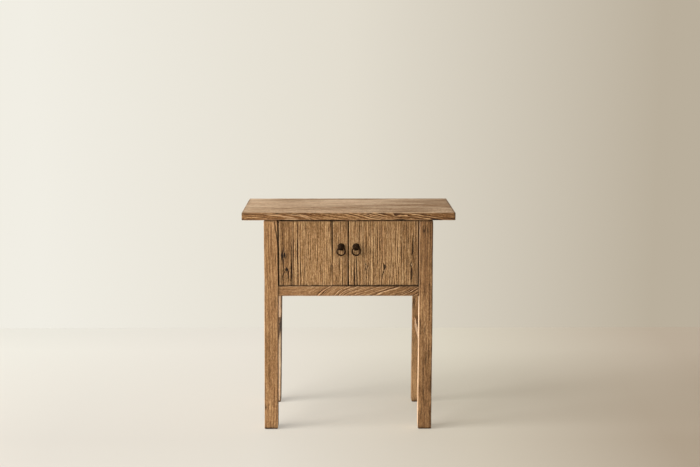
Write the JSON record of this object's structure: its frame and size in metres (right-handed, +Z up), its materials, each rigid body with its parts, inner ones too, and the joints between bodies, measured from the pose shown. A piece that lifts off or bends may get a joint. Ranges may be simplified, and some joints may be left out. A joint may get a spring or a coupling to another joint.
{
  "type": "console table with doors",
  "caption": "Reclaimed-elm console table with a plank top on square legs, a small cupboard with hinged plank doors and ring pulls, and low side stretchers.",
  "frame": {"origin": "on the floor, at the bottom centre of the table's bounding box", "axes": "+Z up, -Y towards the doors, +X to the right of someone who faces the doors"},
  "size_m": [0.808, 0.4294, 0.85],
  "materials": {
    "top_elm": "weathered reclaimed elm, rubbed smooth and matte",
    "frame_elm": "weathered reclaimed elm, matte, with worn edges",
    "door_elm": "weathered reclaimed elm with strong open grain, matte",
    "inner_elm": "plain sawn elm, dry",
    "iron": "dark forged iron with a brown patina"
  },
  "bodies": {
    "frame": {"top_plank_front": "top_elm", "top_plank_middle": "top_elm", "top_plank_rear": "top_elm", "top_batten_left": "inner_elm", "top_batten_right": "inner_elm", "leg_front_left": "frame_elm", "leg_front_right": "frame_elm", "leg_rear_left": "frame_elm", "leg_rear_right": "frame_elm", "front_lower_rail": "frame_elm", "front_upper_rail": "frame_elm", "rear_lower_rail": "frame_elm", "rear_upper_rail": "frame_elm", "side_lower_rail_left": "frame_elm", "side_lower_rail_right": "frame_elm", "side_upper_rail_left": "frame_elm", "side_upper_rail_right": "frame_elm", "side_stretcher_left": "frame_elm", "side_stretcher_right": "frame_elm", "side_panel_left": "frame_elm", "side_panel_right": "frame_elm", "back_board_lower": "inner_elm", "back_board_upper": "inner_elm", "cupboard_floor_front": "inner_elm", "cupboard_floor_middle": "inner_elm", "cupboard_floor_rear": "inner_elm", "floor_ledger_left": "inner_elm", "floor_ledger_right": "inner_elm", "door_left_pivot_washer": "iron", "door_right_pivot_washer": "iron"},
    "left_door": {"door_left_plank_hinge": "door_elm", "door_left_plank_middle": "door_elm", "door_left_plank_meeting": "door_elm", "door_left_batten_upper": "inner_elm", "door_left_batten_lower": "inner_elm", "door_left_pivot_upper": "iron", "door_left_pivot_lower": "iron", "door_left_pull_rosette": "iron", "door_left_pull_cotter": "iron"},
    "right_door": {"door_right_plank_hinge": "door_elm", "door_right_plank_middle": "door_elm", "door_right_plank_meeting": "door_elm", "door_right_batten_upper": "inner_elm", "door_right_batten_lower": "inner_elm", "door_right_pivot_upper": "iron", "door_right_pivot_lower": "iron", "door_right_pull_rosette": "iron", "door_right_pull_cotter": "iron"},
    "left_ring": {"door_left_pull_ring": "iron"},
    "right_ring": {"door_right_pull_ring": "iron"}
  },
  "joints": [
    {"name": "left_door_hinge", "type": "hinge", "parent": "frame", "child": "left_door", "pos_m": [-0.256, -0.1883, 0.6928], "axis": [0, 0, -1], "range_deg": [0, 100]},
    {"name": "right_door_hinge", "type": "hinge", "parent": "frame", "child": "right_door", "pos_m": [0.256, -0.1883, 0.6928], "axis": [0, 0, 1], "range_deg": [0, 100]},
    {"name": "left_ring_swing", "type": "hinge", "parent": "left_door", "child": "left_ring", "pos_m": [-0.0285, -0.20925, 0.718], "axis": [-1, 0, 0], "range_deg": [-15, 195]},
    {"name": "right_ring_swing", "type": "hinge", "parent": "right_door", "child": "right_ring", "pos_m": [0.0285, -0.20925, 0.718], "axis": [-1, 0, 0], "range_deg": [-15, 195]}
  ]
}
